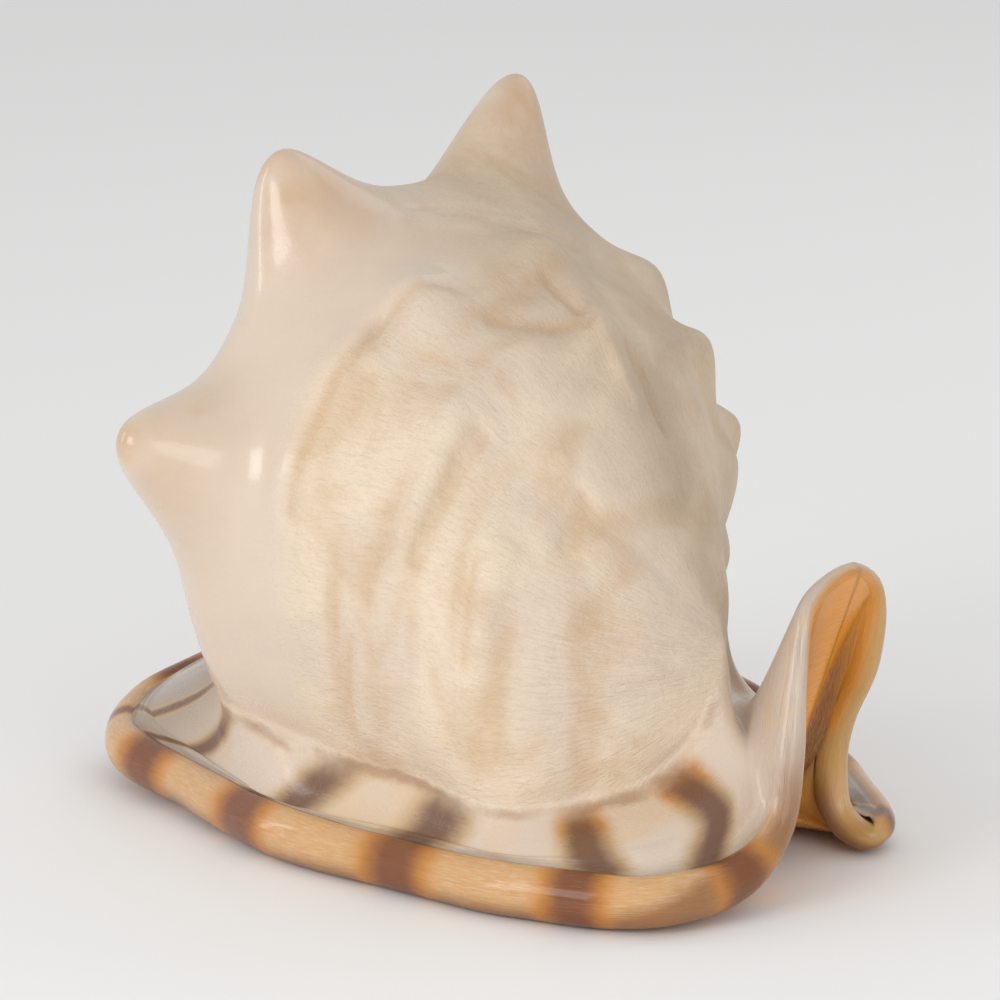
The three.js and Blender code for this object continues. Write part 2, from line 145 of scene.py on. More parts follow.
# Knobs in three rows in front of the horns: angle, x, height, width along X, width round the axis
KNOBS = (
    (155, -19, 5, 10, 16), (137, -17, 6, 10, 16), (119, -8, 9, 11, 12),
    (90, -1, 8, 10, 11), (47, -13, 9, 11, 13), (20, -20, 8, 11, 14),
    (163, 19, 5, 7, 18), (139, 18, 7, 8, 17), (117, 22, 3, 9, 12), (94, 25, 8, 9, 10),
    (48, 19, 9, 10, 11), (21, 12, 12, 10, 10), (-12, 5, 7, 10, 12),
    (173, 42, 3, 8, 18), (158, 39, 4, 6, 14), (128, 41, 3, 8, 12), (98, 44, 3, 9, 12),
    (62, 40, 3, 9, 11), (28, 33, 9, 9, 10), (-4, 26, 7, 10, 12),
)
KNOB_LEAN = 0.2
KNOBS_CLEAR_OF_AXIS = 12
SPIRE_KNOB_DEGREES, SPIRE_KNOB_RADIUS = 50, 100
SPIRE_KNOB_WAY, SPIRE_KNOB_SPREAD = -0.85, 0.5

# Places round the rim: its outermost point, the way it faces, the radius of its roll, the flange's root on
# the body, the waist of the flange, the edge of the aperture, and the middle of the underside
RIM = (
    ((110, 24, 92), (0.3, 0, 1), 3.2, (56, 18, 80), (75, 21, 46), (86.5, 25, 17), (101, 24, 58)),
    ((110, 3, 84), (0.6, -0.6, 0.5), 3, (60, 12, 78), (77, 12, 45.5), (87, 20.5, 15), (100, 11, 55)),
    ((113, -4, 64), (0.9, -0.3, 0.2), 3.5, (67, 4, 74), (86, 3, 45), (87, 16.5, 13), (101, 7, 45)),
    ((114, -8, 42), (0.95, -0.3, 0.1), 4.5, (72, -6, 63), (96, -7, 42), (86.5, 12.5, 11), (102, 2, 30)),
    ((116, -14, 22), (0.97, -0.25, 0), 5.5, (77, -16, 46), (101, -16, 34), (84, 8, 8), (100, -3, 9)),
    ((116, -33, 11), (0.95, -0.3, 0), 7, (80, -33, 34), (103, -31, 27), (77, -2, 6), (98, -18, 1)),
    ((107, -63, 9), (0.6, -0.8, 0), 8, (77, -49, 29), (90.5, -55, 22), (60, -14, 5), (85, -39, -1)),
    ((67, -78, 8), (0.05, -1, 0), 8, (58, -62, 28), (63, -69, 17.5), (35, -24, 5), (51, -52, -1)),
    ((20, -80, 8), (0, -1, 0), 8, (16, -60, 33), (19, -69, 17), (5, -30, 5), (12, -56, -1)),
    ((-28, -76, 8), (-0.15, -1, 0), 8, (-30, -56, 36), (-29, -67, 15.5), (-25, -33, 5), (-27, -55, -1)),
    ((-78, -60, 10), (-0.4, -0.9, 0.05), 8, (-68, -43, 42), (-73, -50, 18), (-52, -30, 6), (-65, -45, 1)),
    ((-121, -43, 13), (-0.85, -0.5, 0.15), 7.5, (-90, -22, 48), (-110, -34, 23), (-72, -24, 8),
     (-96, -33, 4)),
    ((-137, -14, 18), (-0.98, -0.1, 0.25), 7, (-98, 4, 51), (-121, -8, 28), (-84, -14, 10), (-110, -14, 7)),
    ((-133, 24, 26), (-0.98, 0.15, 0.3), 7, (-99, 30, 52), (-118, 26, 33), (-90, -8, 10), (-111, 8, 10)),
    ((-108, 78, 26), (-0.7, 0.7, 0.25), 6.5, (-78, 68, 50), (-95, 68, 32), (-78, -2, 9), (-90, 40, 8)),
    ((-55, 112, 22), (-0.25, 1, 0.25), 6.5, (-40, 90, 46), (-49, 99, 26), (-50, -8, 7), (-50, 55, -2)),
    ((5, 115, 19), (0.05, 1, 0.2), 6.5, (5, 84, 44), (5, 98, 22), (-15, -10, 6), (0, 55, -3)),
    ((58, 95, 10), (0.55, 0.8, 0.15), 6, (42, 62, 46), (52, 80, 17), (20, -5, 6), (40, 60, -3)),
    ((93, 67, 7.5), (0.75, 0.65, 0.1), 5.5, (52, 48, 54), (78, 59, 12), (45, 8, 7), (68, 55, 2)),
    ((110, 48, 7), (0.9, 0.4, 0), 5, (54, 38, 60), (91, 51, 10), (58, 18, 13), (88, 42, 4)),
    ((109, 38, 6), (0.8, -0.5, 0), 4.5, (55, 34, 63), (89, 48, 12), (66, 22, 16), (88, 42, 5)),
    ((99, 37, 12), (0.85, -0.5, 0.1), 4.5, (56, 31, 66), (81, 44, 20), (72, 25, 18), (86, 38, 10)),
    ((97, 37, 24), (0.9, -0.4, 0), 5, (56, 28, 69), (78, 40, 29), (76, 26, 18), (86, 32, 20)),
    ((101, 36, 40), (0.9, -0.4, 0), 5, (57, 25, 72), (77, 35, 38), (80.5, 28, 17.5), (92, 32, 29)),
    ((109, 37, 59), (0.95, -0.2, 0), 5, (57, 22, 75), (77, 31, 43), (83, 28.3, 17), (96.5, 30.5, 42)),
    ((110, 39, 82), (0.8, 0.3, 0.6), 4, (57, 20, 78), (77, 27, 45), (85, 27.5, 17), (99, 28.5, 55)),
)

COLUMNS = 360
BODY_ROWS, WAIST_ROWS, FLANGE_ROWS, ROLL_ROWS = 110, 16, 12, 14
UNDER_ROWS, THROAT_ROWS, HOLLOW_ROWS = 26, 5, 20
RIM_SAMPLES, ROOT_WEIGHT = 1201, 0.8
# How hard the curves pull at the flange's root, on both sides of its waist and at the roll
ROOT_PULL, WAIST_PULL_IN, WAIST_PULL_OUT, ROLL_PULL = 0.7, 0.9, 0.6, 0.8


def ease(start, end, x):
    t = np.clip((x - start) / (end - start), 0, 1)
    return t * t * (3 - 2 * t)


def unit(v):
    return v / np.maximum(np.linalg.norm(v, axis=-1, keepdims=True), 1e-9)


def hermite(p, slope_p, q, slope_q, t):
    return ((2 * t**3 - 3 * t**2 + 1) * p + (t**3 - 2 * t**2 + t) * slope_p
            + (3 * t**2 - 2 * t**3) * q + (t**3 - t**2) * slope_q)


def through_knots(xs, ys, x):
    """A smooth curve through knots, straight past both ends."""
    xs, ys = np.array(xs, float), np.array(ys, float)
    secant = np.diff(ys) / np.diff(xs)
    slope = np.concatenate([secant[:1], (secant[1:] + secant[:-1]) / 2, secant[-1:]])
    i = np.clip(np.searchsorted(xs, x, side="right") - 1, 0, len(xs) - 2)
    step = xs[i + 1] - xs[i]
    t = (x - xs[i]) / step
    inside = hermite(ys[i], slope[i] * step, ys[i + 1], slope[i + 1] * step, np.clip(t, 0, 1))
    return inside + np.minimum(t, 0) * step * slope[0] + np.maximum(t - 1, 0) * step * slope[-1]


def closed_curve(points, place):
    """A closed curve through points, at places from 0 to 1 round it."""
    p = np.array(points, float)
    count = len(p)
    whole = np.floor(np.mod(place, 1) * count).astype(int) % count
    t = (np.mod(place, 1) * count - whole)[:, None]
    before, a, b, after = (p[(whole + k) % count] for k in (-1, 0, 1, 2))

    def gap(u, v):
        return np.maximum(np.sum((u - v) ** 2, axis=1) ** 0.25, 1e-4)[:, None]

    first, middle, last = gap(before, a), gap(a, b), gap(b, after)
    slope_a = ((a - before) / first - (b - before) / (first + middle) + (b - a) / middle) * middle
    slope_b = ((b - a) / middle - (after - a) / (middle + last) + (after - b) / last) * middle
    return hermite(a, slope_a, b, slope_b, t)


def round_axis(points):
    """Distance from the bent coiling axis, and the angle round it in degrees."""
    bend = ease(BEND_FROM, BEND_TO, points[..., 0])
    y = points[..., 1] - AXIS_Y - BEND_Y * bend
    z = points[..., 2] - AXIS_Z - BEND_Z * bend
    angle = np.mod(np.degrees(np.arctan2(z, y)) + SEAM_DEGREES, 360) - SEAM_DEGREES
    return np.hypot(y, z), angle


def growth(angle, turns_back=0):
    return GROWTH_PER_TURN ** ((angle - LIP_DEGREES) / 360 - turns_back)


def outside_body(points):
    """Below zero inside the body whorl and the spire, above zero outside."""
    radius, angle = round_axis(points)
    x = points[..., 0]
    below = ease(*TO_UNDER, angle)
    lip = ease(*TO_LIP, angle) * (1 - below)
    far = ease(*TO_FAR, angle) + below
    whorl = (through_knots(STATIONS_X, BACK_RADII, x) * (1 - lip - far)
             + through_knots(STATIONS_X, LIP_RADII, x) * lip
             + through_knots(STATIONS_X, FAR_RADII, x) * far)
    upright = UPRIGHT * ease(UPRIGHT_FROM, UPRIGHT_TO, x) * ease(*TO_UPRIGHT, angle) * (1 - below)
    sunk = radius * np.sin(np.radians(angle))
    radius_here = np.hypot(radius * np.cos(np.radians(angle)), sunk * (1 - upright))
    side = (radius_here - whorl) * SIDE_STEEPNESS
    turns = np.log(SHOULDER_RADIUS * growth(angle) / np.maximum(radius, 1e-3)) / math.log(GROWTH_PER_TURN)
    size = growth(angle, np.maximum(np.floor(turns), 0))
    inner = 1 / GROWTH_PER_TURN
    across = np.clip((np.minimum(radius / (SHOULDER_RADIUS * size), 1.3) - inner) / (1 - inner), 0, 1.5)
    rise = SHELF_STEP * ease(0, SHELF_STEP_END, across) + SHELF_REST * across**SHELF_CURVE
    shelf = inner + (1 - inner) * rise
    top = APEX_X + SHOULDER_FROM_APEX * size * shelf - x
    blend = np.clip(0.5 + (side - top) / (2 * SHOULDER_ROUNDING), 0, 1)
    return top * (1 - blend) + side * blend + SHOULDER_ROUNDING * blend * (1 - blend)


def on_body(directions, depth=0.0):
    """The points in these directions from CORE on the body whorl, or at a depth inside it."""
    near = np.full(directions.shape[:-1], SEARCH_START)
    far = near + SEARCH_STEP
    found = np.zeros(near.shape, bool)
    for _ in range(SEARCH_STEPS):
        found |= outside_body(CORE + directions * far[..., None]) > -depth
        near = np.where(found, near, far)
        far = np.where(found, far, far + SEARCH_STEP)
    near = far - SEARCH_STEP
    for _ in range(HALVINGS):
        middle = (near + far) / 2
        out = outside_body(CORE + directions * middle[..., None]) > -depth
        far = np.where(out, middle, far)
        near = np.where(out, near, middle)
    return CORE + directions * ((near + far) / 2)[..., None]


def raised(points):
    """The horns, the knob rows and the knobs of the spire, raised from points of the outside."""
    out = points.copy()
    for angle, x, height, width, lean in HORNS:
        turn = math.radians(angle)
        way = unit(np.array([lean, math.cos(turn), math.sin(turn)]))
        root = np.array([x, AXIS_Y + HORN_ROOT * math.cos(turn), AXIS_Z + HORN_ROOT * math.sin(turn)])
        reach = points - root
        along = reach @ way
        away = np.sqrt(np.maximum(np.sum(reach**2, axis=-1) - along**2, 0)) / width
        shape = (HORN_CORE * np.exp(-(away**HORN_CORE_POWER))
                 + HORN_SKIRT * np.exp(-((away / HORN_SKIRT_WIDTH) ** 2)))
        out += way * (height * shape * ease(*HORN_SIDE, along))[..., None]
    radius, angles = round_axis(points)
    for angle, x, height, width_along, width_round in KNOBS:
        turn = math.radians(angle)
        way = unit(np.array([KNOB_LEAN, math.cos(turn), math.sin(turn)]))
        round_it = np.radians(np.mod(angles - angle + 180, 360) - 180) * radius
        shape = np.exp(-(((points[..., 0] - x) / width_along) ** 2) - (round_it / width_round) ** 2)
        out += way * (height * shape * ease(0, KNOBS_CLEAR_OF_AXIS, radius))[..., None]
    for angle in range(-100, 250, SPIRE_KNOB_DEGREES):
        turn = math.radians(angle)
        size = growth(angle, 1)
        middle = np.array([APEX_X + SHOULDER_FROM_APEX * size,
                           AXIS_Y + SPIRE_KNOB_RADIUS * size * math.cos(turn),
                           AXIS_Z + SPIRE_KNOB_RADIUS * size * math.sin(turn)])
        away = np.linalg.norm(points - middle, axis=-1) / (14 * size + 2)
        spread = SPIRE_KNOB_SPREAD
        way = np.array([SPIRE_KNOB_WAY, spread * math.cos(turn), spread * math.sin(turn)])
        out += way * ((12 * size + 1) * np.exp(-(away**2)))[..., None]
    return out


def columns_along_rim():
    """Places from 0 to 1 for the columns, even along the rim and the flange's root together."""
    fine = np.linspace(0, 1, RIM_SAMPLES)
    edge = closed_curve([place[0] for place in RIM], fine)
    root = closed_curve([place[3] for place in RIM], fine)
    steps = (np.linalg.norm(np.diff(edge, axis=0), axis=1)
             + ROOT_WEIGHT * np.linalg.norm(np.diff(root, axis=0), axis=1))
    reach = np.concatenate([[0], np.cumsum(steps)])
    return np.interp(np.arange(COLUMNS) / COLUMNS, reach / reach[-1], fine)


def shell_wall():
    """Rows of points over the wall, from the body's top to the hollow's, and where each row lies: 0 to 1
    on the body, 1 to 2 on the flange, 2 to 3 round the roll, 3 to 4 underneath, above 4 inside."""
    place = columns_along_rim()
    edge, faces, root, waist, mouth, under = (
        closed_curve([rim[k] for rim in RIM], place) for k in (0, 1, 3, 4, 5, 6))
    roll = closed_curve([(rim[2], 0, 0) for rim in RIM], place)[:, :1]
    ends = [closed_curve([rim[0] for rim in RIM], place + step) for step in (-0.002, 0.002)]
    along = unit(ends[1] - ends[0])
    up = unit(np.cross(along, faces))
    out = unit(np.cross(up, along))
    centre = edge - out * roll
    rim_top = centre + up * roll
    rim_bottom = centre - up * roll

    to_root = unit(root - CORE)
    tilt = np.arccos(to_root[:, 2])
    heading = np.arctan2(to_root[:, 1], to_root[:, 0])

    def seen(share):
        lean = tilt * share
        return np.stack([np.sin(lean) * np.cos(heading), np.sin(lean) * np.sin(heading), np.cos(lean)], -1)

    shares = (np.arange(BODY_ROWS) + 1) / BODY_ROWS
    rows = list(on_body(np.array([seen(share) for share in shares])))
    where = list(shares)
    foot = rows[-1]
    leaving = unit(rows[-1] - rows[-4])
    drop = np.linalg.norm(waist - foot, axis=1)[:, None]
    spread = np.linalg.norm(rim_top - waist, axis=1)[:, None]
    across = unit(unit(waist - foot) + unit(rim_top - waist))
    for k in range(1, WAIST_ROWS + 1):
        t = k / WAIST_ROWS
        rows.append(hermite(foot, leaving * drop * ROOT_PULL, waist, across * drop * WAIST_PULL_IN, t))
        where.append(1 + 0.5 * t)
    for k in range(1, FLANGE_ROWS + 1):
        t = k / FLANGE_ROWS
        pulls = across * spread * WAIST_PULL_OUT, out * spread * ROLL_PULL
        rows.append(hermite(waist, pulls[0], rim_top, pulls[1], t))
        where.append(1.5 + 0.5 * t)
    rows = list(raised(np.array(rows)))
    for k in range(1, ROLL_ROWS + 1):
        turn = math.pi * (0.5 - k / ROLL_ROWS)
        rows.append(centre + roll * (out * math.cos(turn) + up * math.sin(turn)))
        where.append(2 + k / ROLL_ROWS)
    for k in range(1, UNDER_ROWS + 1):
        t = k / UNDER_ROWS
        rows.append(rim_bottom * (1 - t) * (1 - 2 * t) + under * 4 * t * (1 - t) + mouth * t * (2 * t - 1))
        where.append(3 + t)

    front = ease(CANAL_END_FROM, CANAL_END_TO, mouth[:, 0])
    closing = (CANAL_CLOSING * front)[:, None]
    reach = REACH_BACK + (REACH_FRONT - REACH_BACK) * front
    hollow = [on_body(seen(reach * k / HOLLOW_ROWS), WALL) for k in range(HOLLOW_ROWS, 0, -1)]
    for row in hollow:
        row[:, 2] = np.maximum(row[:, 2], HOLLOW_FLOOR)
    throat = mouth.copy()
    throat[:, :2] += (CANAL_END_MIDDLE - mouth[:, :2]) * closing
    throat[:, 2] += THROAT_RISE
    turning = (throat + hollow[0]) / 2
    turning[:, 2] = (turning[:, 2] + throat[:, 2]) / 2
    turning += (CORE - turning) * closing
    stops = [rows[-3], mouth, throat, turning, hollow[0], hollow[2]]
    for k in range(1, 4):
        for step in range(1, THROAT_ROWS + 1):
            t = step / THROAT_ROWS
            slopes = [(stops[j + 1] - stops[j - 1]) / 2 for j in (k, k + 1)]
            rows.append(hermite(stops[k], slopes[0], stops[k + 1], slopes[1], t))
            where.append(4 + (k - 1 + t) / 3)
    rows += hollow[1:]
    where += list(5 + np.arange(1, HOLLOW_ROWS) / HOLLOW_ROWS)

    straight_up = np.array([[0.0, 0, 1]])
    summit = raised(on_body(straight_up))[0]
    vault = on_body(straight_up, WALL)[0]
    rows = [np.tile(summit, (COLUMNS, 1))] + rows + [np.tile(vault, (COLUMNS, 1))]
    where = [0.0] + where + [6.0]
    wall = np.array(rows)
    wall[..., 2] = np.maximum(wall[..., 2], 0)
    return wall, np.array(where)


# The growth marks
# Low relief that the growing shell keeps: the step where its glazed shoulder ends, folds and ridges on
# the whorl, the groove and the step that edge the lip, and underneath its teeth and the column's folds.
GROOVE_DEPTH, GROOVE_AT, GROOVE_WIDTH = 0.9, 1.97, 0.045
BENCH_RIDGE, BENCH_RIDGE_AT, BENCH_RIDGE_WIDTH = 0.7, 1.66, 0.09
STEP_DEPTH, STEP_AT, STEP_WIDTH = 0.8, 1.13, 0.05
RIDGE_HEIGHT, RIDGE_WIDTH, RIDGE_LENGTH = 0.8, 9, 42
LUMP_HEIGHT, LUMP_SIZE = 0.5, 20
# The glazed shoulder ends at a step, where the knobs begin: its height, and its x at two angles
STEP_UP, STEP_TOP, STEP_LOW, STEP_SOFT = 1.6, (113, -1), (142, -16), 4
# Ridges and, where the height is below zero, grooves: angle and x of both ends, height, half width
FOLDS = (
    (114, -5, 128, -14, -1.1, 3), (128, -14, 163, -19, -1.3, 3), (138, 26, 167, 23, -1.7, 3),
    (148, 20.5, 166, 18, 1.2, 3), (156, 45, 176, 46, 1.2, 3), (160, 40, 182, 41, -0.8, 3),
    (129, 44, 148, 48, 1.1, 4), (131, 51.5, 147, 54.5, -1.2, 4), (139, 59, 166, 61, 1.1, 4),
    (136, 69, 179, 78, 0.8, 4), (114, 8, 97, 24, -1.3, 3), (95, 28, 94, 40, 1.4, 3),
    (95, 7, 96, 19, -1.1, 2.5), (91, 10, 93, 22, 0.9, 3), (84, 28, 84, 45, -1.2, 3),
    (97, -28, 78, -13, -0.8, 2), (100, -35, 82, -21, -0.6, 2), (92, -20, 76, -7, -0.6, 2),
    (172, 20, 186, 12, -0.8, 4), (186, 30, 200, 38, -0.7, 4), (185, 0, 204, -4, -0.7, 4),
)
FOLD_ROUND, FOLD_DEPTH = 80, 1.35
LIP_WAVE, LIP_WAVE_LENGTH, LIP_WAVE_AT, LIP_WAVE_WIDTH = 0.9, 27, 2.4, 0.6
TOOTH_HEIGHT, TOOTH_SPACING, TEETH_FROM, TEETH_TO = 2.2, 11.5, 5.6, 11
TOOTH_AT, TOOTH_LENGTH, TEETH_FADE = 3.78, 0.13, 0.7
FOLD_HEIGHT, FOLD_SPACING, FOLDS_FROM, FOLDS_TO = 1.1, 7.5, 15, 20
FOLD_AT, FOLD_LENGTH, FOLDS_FADE = 3.75, 0.2, 1
BODY_END, NEAR_AXIS = (0.9, 1.15), (8, 40)
CANAL_RIGHT, CANAL_LEFT = (3, 4.6), (21.2, 22.4)
NOISE_GAIN = 1.6


def rough(across, along, seed):
    """Smooth noise from about -1 to 1 over two coordinates."""
    spots = zip(np.ravel(across), np.ravel(along))
    return np.array([noise.noise((a, b, seed)) for a, b in spots]).reshape(across.shape) * NOISE_GAIN


def bell(value, middle, width):
    return np.exp(-(((value - middle) / width) ** 2))


wall, where = shell_wall()
row_of = where[:, None] * np.ones((1, COLUMNS))
rim_place = columns_along_rim() * len(RIM)
rim_edge = closed_curve([place[0] for place in RIM], rim_place / len(RIM))
rim_run = np.concatenate([[0], np.cumsum(np.linalg.norm(np.diff(rim_edge, axis=0), axis=1))])
run_of = rim_run * np.ones((len(where), 1))
place_of = rim_place * np.ones((len(where), 1))
radius_of, angle_of = round_axis(wall)
round_of = np.radians(angle_of) * FOLD_ROUND

slope_down = np.gradient(wall, axis=0)
slope_on = np.roll(wall, -1, axis=1) - np.roll(wall, 1, axis=1)
outward = unit(np.cross(slope_down, slope_on))
outward *= np.sign(outward[4, 0, 2])

on_whorl = (1 - ease(*BODY_END, row_of)) * ease(*NEAR_AXIS, radius_of)
canal = np.maximum(1 - ease(*CANAL_RIGHT, place_of), ease(*CANAL_LEFT, place_of))
step_x = STEP_TOP[1] + (STEP_LOW[1] - STEP_TOP[1]) * ease(STEP_TOP[0], STEP_LOW[0], angle_of)
past_step = wall[..., 0] - step_x
front_side = ease(98, 114, angle_of)
ridges = rough(wall[..., 0] / RIDGE_WIDTH, round_of / RIDGE_LENGTH, 3.1)
lumps = rough(wall[..., 0] / LUMP_SIZE, round_of / LUMP_SIZE, 8.7)
step = ease(-STEP_SOFT, STEP_SOFT, past_step) * ease(45, 5, past_step) * front_side * ease(200, 160, angle_of)
folded = np.zeros(row_of.shape)
crease_shade_amounts = np.zeros(row_of.shape)
for angle_a, x_a, angle_b, x_b, height, half_width in FOLDS:
    start = np.array([x_a, math.radians(angle_a) * FOLD_ROUND])
    line = np.array([x_b, math.radians(angle_b) * FOLD_ROUND]) - start
    reach = np.stack([wall[..., 0], round_of], -1) - start
    share = np.clip(reach @ line / (line @ line), 0, 1)
    stroke = bell(np.linalg.norm(reach - share[..., None] * line, axis=-1), 0, half_width)
    folded += FOLD_DEPTH * height * stroke * on_whorl
    # Painted shade: each groove also adds to a tan shade mask along its line.
    crease_shade_amounts += max(-height, 0) * stroke**2 * on_whorl
ridged = RIDGE_HEIGHT * ridges * ease(-10, 15, past_step)
relief = folded + on_whorl * (ridged + LUMP_HEIGHT * lumps + STEP_UP * step)
relief -= GROOVE_DEPTH * bell(row_of, GROOVE_AT, GROOVE_WIDTH) * (1 - canal)
relief += BENCH_RIDGE * bell(row_of, BENCH_RIDGE_AT, BENCH_RIDGE_WIDTH) * (1 - canal)
broken = 0.5 + 0.5 * rough(run_of / 18, row_of, 5.5)
step_line = STEP_AT + 0.03 * rough(run_of / 25, row_of, 1.5)
relief -= STEP_DEPTH * bell(row_of, step_line, STEP_WIDTH) * broken * (1 - canal)
lip_wave = rough(run_of / LIP_WAVE_LENGTH, row_of * 0.3, 6.2)
relief += LIP_WAVE * bell(row_of, LIP_WAVE_AT, LIP_WAVE_WIDTH) * lip_wave
teeth = ease(TEETH_FROM, TEETH_FROM + TEETH_FADE, place_of) * ease(TEETH_TO, TEETH_TO - TEETH_FADE, place_of)
tooth = np.clip(np.cos(2 * math.pi * run_of / TOOTH_SPACING), 0, 1)
relief += TOOTH_HEIGHT * teeth * tooth * bell(row_of, TOOTH_AT, TOOTH_LENGTH)
folds = ease(FOLDS_FROM, FOLDS_FROM + FOLDS_FADE, place_of) * ease(FOLDS_TO, FOLDS_TO - FOLDS_FADE, place_of)
fold = np.cos(2 * math.pi * run_of / FOLD_SPACING + 2 * rough(run_of / 30, row_of, 2.2))
relief += FOLD_HEIGHT * folds * fold * bell(row_of, FOLD_AT, FOLD_LENGTH)
relief[0] = relief[0].mean()
relief[-1] = 0
wall = wall + outward * relief[..., None]
wall[0] = wall[0].mean(axis=0)
wall[-1] = wall[-1].mean(axis=0)
wall[..., 2] = np.maximum(wall[..., 2], 0)

# The net of faces starts as a sphere whose rings become the rows of the wall.
net = bmesh.new()
bmesh.ops.create_uvsphere(net, u_segments=COLUMNS, v_segments=len(where) - 1, radius=1)
on_sphere = np.array([v.co for v in net.verts])
ring = np.rint(np.arccos(np.clip(on_sphere[:, 2], -1, 1)) / math.pi * (len(where) - 1)).astype(int)
spoke = np.rint(-np.arctan2(on_sphere[:, 1], on_sphere[:, 0]) / (2 * math.pi) * COLUMNS).astype(int) % COLUMNS
places = (wall[ring, spoke] * 0.001) - GROWN_AT
for vertex, spot in zip(net.verts, places):
    vertex.co = spot
bmesh.ops.recalc_face_normals(net, faces=net.faces)
shell_mesh = bpy.data.meshes.new("helmet_shell_skin")
net.to_mesh(shell_mesh)
net.free()
shell_mesh.polygons.foreach_set("use_smooth", [True] * len(shell_mesh.polygons))
shell = bpy.data.objects.new("helmet_shell_skin", shell_mesh)
bpy.context.scene.collection.objects.link(shell)

# The markings
# Dark bars cross the lip and its bench, one at each pause in growth. For each, in millimetres along the
# rim: its middle and half width on the rim, then its middle, slant and half width on the bench.
BARS = (
    (110, 15, 111, 20, 13), (168, 13, 159, 10, 14), (229, 16, 223, 15, 15), (295, 17, 281, 46, 13),
    (354, 15, 346, 50, 9), (392, 5, 381, 45, 5), (432, 17, 425, 40, 12), (487, 15, 482, 30, 12),
    (540, 14, 537, 20, 12), (598, 15, 596, 10, 12), (655, 13, 656, -10, 11), (708, 12, 712, -20, 10),
    (764, 8, 765, 0, 8),
)
HORN_TIPS, HORN_SIDES = 11, 30
BENCH_MIDDLE = 1.6
RIM_ROW_LENGTH = 18
MAP_UNIT = 10


def keep(name, values):
    """Stores a number for each vertex, which the material reads by name."""
    store = shell_mesh.attributes.new(name, "FLOAT", "POINT")
    store.data.foreach_set("value", np.ascontiguousarray(values[ring, spoke], dtype=np.float32))


def keep_map(name, across, along):
    """Stores two lengths in centimetres for each vertex, for a pattern that follows the surface."""
    store = shell_mesh.attributes.new(name, "FLOAT_VECTOR", "POINT")
    flat = np.stack([across, along, np.zeros_like(across)], -1)[ring, spoke] / MAP_UNIT
    store.data.foreach_set("vector", np.ascontiguousarray(flat, dtype=np.float32).ravel())


on_rim = row_of > GROOVE_AT
bars = np.full(row_of.shape, -1.0)
for rim_middle, rim_half, bench_middle, slant, bench_half in BARS:
    middle = np.where(on_rim, rim_middle, bench_middle + slant * (np.maximum(row_of, 1) - BENCH_MIDDLE))
    bars = np.maximum(bars, 1 - np.abs(run_of - middle) / np.where(on_rim, rim_half, bench_half))
tips = np.zeros(row_of.shape)
horns = np.zeros(row_of.shape)
warm_sides = np.zeros(row_of.shape)
for angle, x, height, width, lean in HORNS:
    turn = math.radians(angle)
    way = unit(np.array([lean, math.cos(turn), math.sin(turn)]))
    root = np.array([x, AXIS_Y + HORN_ROOT * math.cos(turn), AXIS_Z + HORN_ROOT * math.sin(turn)])
    away = np.linalg.norm(wall - root - way * height, axis=-1)
    near = np.exp(-((away / HORN_SIDES) ** 2))
    tips = np.maximum(tips, np.exp(-((away / HORN_TIPS) ** 2)))
    horns = np.maximum(horns, near)
    warm_sides = np.maximum(warm_sides, near * ease(0, 12, wall[..., 0] - x - lean * height))
from_notch = np.minimum(place_of, len(RIM) - place_of)
# Painted shade: the canal's trough is darkened more the deeper it goes.
canal_depth_shade = ease(2.9, 3.5, row_of) * canal * ease(0.2, 1.3, from_notch)
foot = ease(17, 18.2, place_of) * ease(21.3, 20.6, place_of)
golden = ease(20.6, 21.6, place_of) * ease(25.6, 25, place_of)
front_edge = ease(2.2, 4, place_of) * ease(6.6, 5.2, place_of)
keep("across", row_of)
keep("bars", bars)
keep("tips", tips)
keep("horns", horns)
keep("warm_sides", warm_sides)
keep("canal", canal)
keep("canal_depth_shade", canal_depth_shade)
keep("foot", foot)
keep("golden", golden)
keep("front_edge", front_edge)
# Painted shade: the left end of the bench, which lies in shadow, is greyed.
keep("left_end_shade", ease(300, 385, run_of) * ease(560, 450, run_of))
keep("amber_top", ease(1.45, 1.2, row_of) * ease(200, 175, run_of))
# Painted shade: tan in the low places between the ridges of the whorl.
keep("hollow_shade", np.clip(0.5 - 0.5 * ridges, 0, 1) * ease(-3, 8, past_step) * on_whorl)
# Painted shade: tan along the grooves of the folds.
keep("crease_shade", np.clip(crease_shade_amounts, 0, 1))
glazed = (1 - ease(-14, 4, past_step)) * ease(80, 112, angle_of)
keep("glaze", np.maximum(glazed, horns * 0.7) * on_whorl)
# Painted shade: the far side of the whorl, turned away from the light, is given a darker olive tan.
keep("far_side_shade", ease(128, 84, angle_of) * (1 - 0.75 * horns))
keep_map("whorl_map", wall[..., 0], round_of)
keep_map("rim_map", run_of, row_of * RIM_ROW_LENGTH)


# The shell's surface
# Porcelain-like lime: chalky and cream on the whorl, with tan stains, and glossy as glaze on the lip,
# the bench and the canal, where the animal laid down its last coats of peach, orange and brown. Some of
# the colour is painted shade: tan in the whorl's hollows and creases, olive tan on its far side, grey in
# the groove before the rim and on the bench's left end, and darker brown deep in the canal.
def colour(red, green, blue):
    """A colour as it is seen on a screen, from 0 to 255, as the shader's linear values."""
    return tuple(((c / 255 + 0.055) / 1.055) ** 2.4 for c in (red, green, blue)) + (1,)


